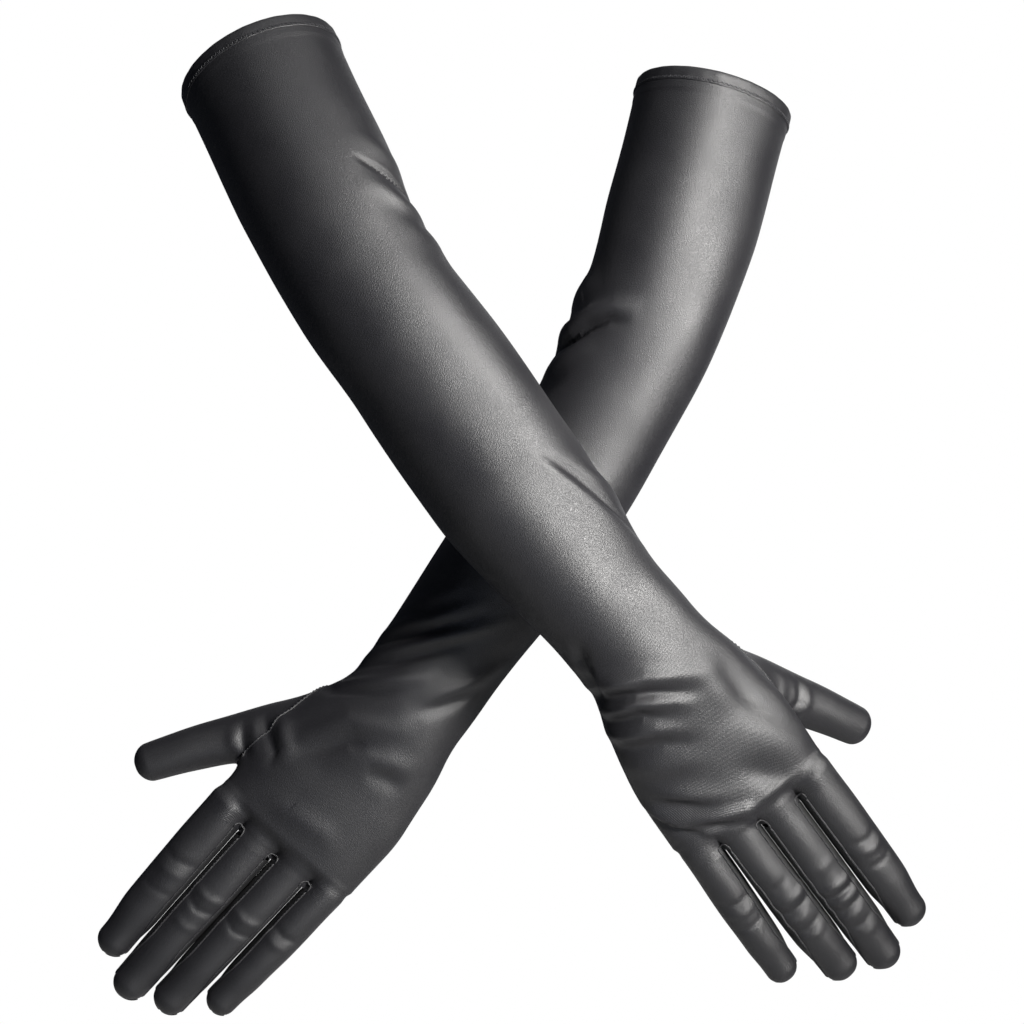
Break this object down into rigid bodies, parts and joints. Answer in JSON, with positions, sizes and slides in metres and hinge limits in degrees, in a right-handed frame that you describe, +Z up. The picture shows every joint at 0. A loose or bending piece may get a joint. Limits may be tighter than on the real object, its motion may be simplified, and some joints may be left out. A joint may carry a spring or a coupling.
{
  "type": "opera gloves",
  "caption": "Pair of long stretch-knit opera gloves that reach above the elbow, worn with the forearms crossed and the hands hanging down.",
  "frame": {"origin": "midway between the centres of the two hems, where the arms that wear the gloves leave them", "axes": "+Z up, +X towards the right glove's hand, +Y towards the palms; the backs of the hands face -Y"},
  "size_m": [0.41, 0.1713, 0.4903],
  "materials": {
    "black_knit": "black stretch knit with a soft satin sheen and a fine slanting grain",
    "fourchette_knit": "the same black knit, cut as narrow strips, a little darker in the folds",
    "sewing_thread": "black polyester sewing thread"
  },
  "bodies": {
    "left_upper_arm": {"left_hem_band": "black_knit", "left_hem_thread": "sewing_thread", "left_upper_sleeve": "black_knit", "left_elbow_bend": "black_knit", "left_side_seam_upper": "sewing_thread"},
    "left_forearm": {"left_forearm_sleeve": "black_knit", "left_wrist_bend": "black_knit", "left_side_seam_forearm": "sewing_thread"},
    "left_palm": {"left_hand": "black_knit", "left_thumb_base": "black_knit", "left_thumb_root": "black_knit", "left_thumb_seam": "sewing_thread", "left_index_root": "black_knit", "left_middle_root": "black_knit", "left_ring_root": "black_knit", "left_little_root": "black_knit"},
    "left_thumb_stall": {"left_thumb": "black_knit"},
    "left_index_stall": {"left_index_finger": "black_knit", "left_index_fourchette_outward": "fourchette_knit"},
    "left_middle_stall": {"left_middle_finger": "black_knit", "left_middle_fourchette_thumbward": "fourchette_knit", "left_middle_fourchette_outward": "fourchette_knit"},
    "left_ring_stall": {"left_ring_finger": "black_knit", "left_ring_fourchette_thumbward": "fourchette_knit", "left_ring_fourchette_outward": "fourchette_knit"},
    "left_little_stall": {"left_little_finger": "black_knit", "left_little_fourchette_thumbward": "fourchette_knit"},
    "right_upper_arm": {"right_hem_band": "black_knit", "right_hem_thread": "sewing_thread", "right_upper_sleeve": "black_knit", "right_elbow_bend": "black_knit", "right_side_seam_upper": "sewing_thread"},
    "right_forearm": {"right_forearm_sleeve": "black_knit", "right_wrist_bend": "black_knit", "right_side_seam_forearm": "sewing_thread"},
    "right_palm": {"right_hand": "black_knit", "right_thumb_base": "black_knit", "right_thumb_root": "black_knit", "right_thumb_seam": "sewing_thread", "right_index_root": "black_knit", "right_middle_root": "black_knit", "right_ring_root": "black_knit", "right_little_root": "black_knit"},
    "right_thumb_stall": {"right_thumb": "black_knit"},
    "right_index_stall": {"right_index_finger": "black_knit", "right_index_fourchette_outward": "fourchette_knit"},
    "right_middle_stall": {"right_middle_finger": "black_knit", "right_middle_fourchette_thumbward": "fourchette_knit", "right_middle_fourchette_outward": "fourchette_knit"},
    "right_ring_stall": {"right_ring_finger": "black_knit", "right_ring_fourchette_thumbward": "fourchette_knit", "right_ring_fourchette_outward": "fourchette_knit"},
    "right_little_stall": {"right_little_finger": "black_knit", "right_little_fourchette_thumbward": "fourchette_knit"}
  },
  "joints": [
    {"name": "gloves_apart", "type": "slide", "parent": "left_upper_arm", "child": "right_upper_arm", "axis": [0, -1, 0], "range_m": [0, 0.3]},
    {"name": "left_elbow", "type": "hinge", "parent": "left_upper_arm", "child": "left_forearm", "pos_m": [0.08397, 0.03849, -0.10807], "axis": [0, 1, 0], "range_deg": [-8, 50], "deforming": ["left_elbow_bend"]},
    {"name": "left_wrist", "type": "hinge", "parent": "left_forearm", "child": "left_palm", "pos_m": [-0.0424, 0.032, -0.31], "axis": [0.7431, 0, -0.6691], "range_deg": [-40, 60], "deforming": ["left_wrist_bend"]},
    {"name": "left_thumb_bend", "type": "hinge", "parent": "left_palm", "child": "left_thumb_stall", "pos_m": [-0.13038, 0.04116, -0.32526], "axis": [0.238, 0, -0.9713], "range_deg": [0, 35], "deforming": ["left_thumb_root"]},
    {"name": "left_index_bend", "type": "hinge", "parent": "left_palm", "child": "left_index_stall", "pos_m": [-0.13536, 0.02841, -0.36482], "axis": [0.7558, 0, -0.6547], "range_deg": [-10, 75], "deforming": ["left_index_root"]},
    {"name": "left_middle_bend", "type": "hinge", "parent": "left_palm", "child": "left_middle_stall", "pos_m": [-0.12034, 0.02834, -0.38102], "axis": [0.7431, 0, -0.6691], "range_deg": [-10, 75], "deforming": ["left_middle_root"]},
    {"name": "left_ring_bend", "type": "hinge", "parent": "left_palm", "child": "left_ring_stall", "pos_m": [-0.10281, 0.02841, -0.39413], "axis": [0.729, 0, -0.6845], "range_deg": [-10, 75], "deforming": ["left_ring_root"]},
    {"name": "left_little_bend", "type": "hinge", "parent": "left_palm", "child": "left_little_stall", "pos_m": [-0.08794, 0.02841, -0.40751], "axis": [0.7218, 0, -0.6921], "range_deg": [-10, 75], "deforming": ["left_little_root"]},
    {"name": "right_elbow", "type": "hinge", "parent": "right_upper_arm", "child": "right_forearm", "pos_m": [-0.05994, -0.03701, -0.09709], "axis": [0, -1, 0], "range_deg": [-8, 80], "deforming": ["right_elbow_bend"]},
    {"name": "right_wrist", "type": "hinge", "parent": "right_forearm", "child": "right_palm", "pos_m": [0.077, -0.0385, -0.278], "axis": [0.8241, 0, 0.5664], "range_deg": [-40, 60], "deforming": ["right_wrist_bend"]},
    {"name": "right_thumb_bend", "type": "hinge", "parent": "right_palm", "child": "right_thumb_stall", "pos_m": [0.14915, 0.00155, -0.3007], "axis": [0.3845, 0, 0.9231], "range_deg": [0, 35], "deforming": ["right_thumb_root"]},
    {"name": "right_index_bend", "type": "hinge", "parent": "right_palm", "child": "right_index_stall", "pos_m": [0.16116, -0.02061, -0.34324], "axis": [0.8011, 0, 0.5985], "range_deg": [-10, 75], "deforming": ["right_index_root"]},
    {"name": "right_middle_bend", "type": "hinge", "parent": "right_palm", "child": "right_middle_stall", "pos_m": [0.14414, -0.02027, -0.35733], "axis": [0.8043, 0, 0.5942], "range_deg": [-10, 75], "deforming": ["right_middle_root"]},
    {"name": "right_ring_bend", "type": "hinge", "parent": "right_palm", "child": "right_ring_stall", "pos_m": [0.12506, -0.02061, -0.36805], "axis": [0.7946, 0, 0.6071], "range_deg": [-10, 75], "deforming": ["right_ring_root"]},
    {"name": "right_little_bend", "type": "hinge", "parent": "right_palm", "child": "right_little_stall", "pos_m": [0.10858, -0.02061, -0.37938], "axis": [0.8282, 0, 0.5605], "range_deg": [-10, 75], "deforming": ["right_little_root"]}
  ]
}
